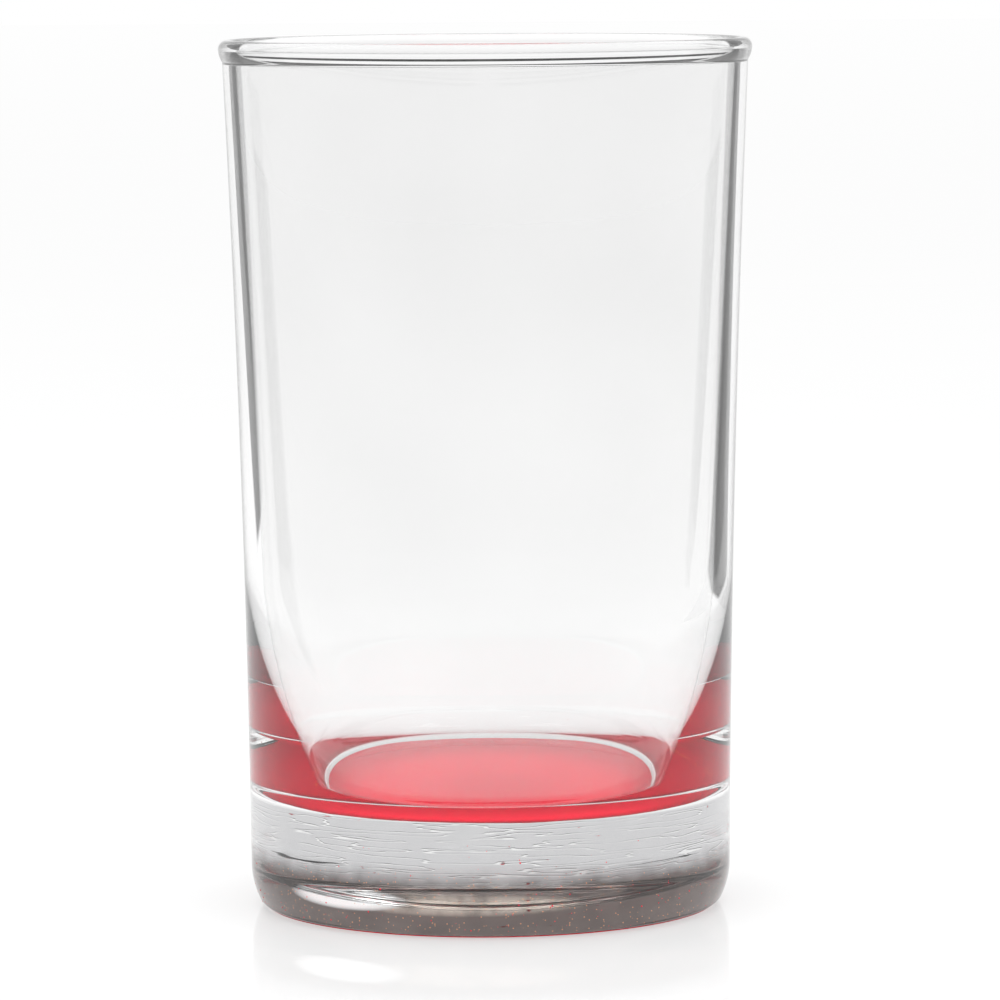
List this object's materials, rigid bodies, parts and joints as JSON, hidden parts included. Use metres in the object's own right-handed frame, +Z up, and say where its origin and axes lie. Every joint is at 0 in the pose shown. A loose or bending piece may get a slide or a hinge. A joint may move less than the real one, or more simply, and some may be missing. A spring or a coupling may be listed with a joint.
{
  "type": "juice glass",
  "caption": "Short clear tumbler for juice with a beaded rim, a slightly flared wall, a heavy solid base and a red colour coat on its underside.",
  "frame": {"origin": "centre of the base on the surface the glass stands on", "axes": "+Z up along the axis of the glass"},
  "size_m": [0.0603, 0.0602, 0.0984],
  "materials": {
    "clear_glass": "clear, fire polished",
    "red_coat": "sprayed translucent red lacquer"
  },
  "bodies": {
    "root": {"glass_body": "clear_glass", "base_coat": "red_coat"}
  },
  "joints": []
}
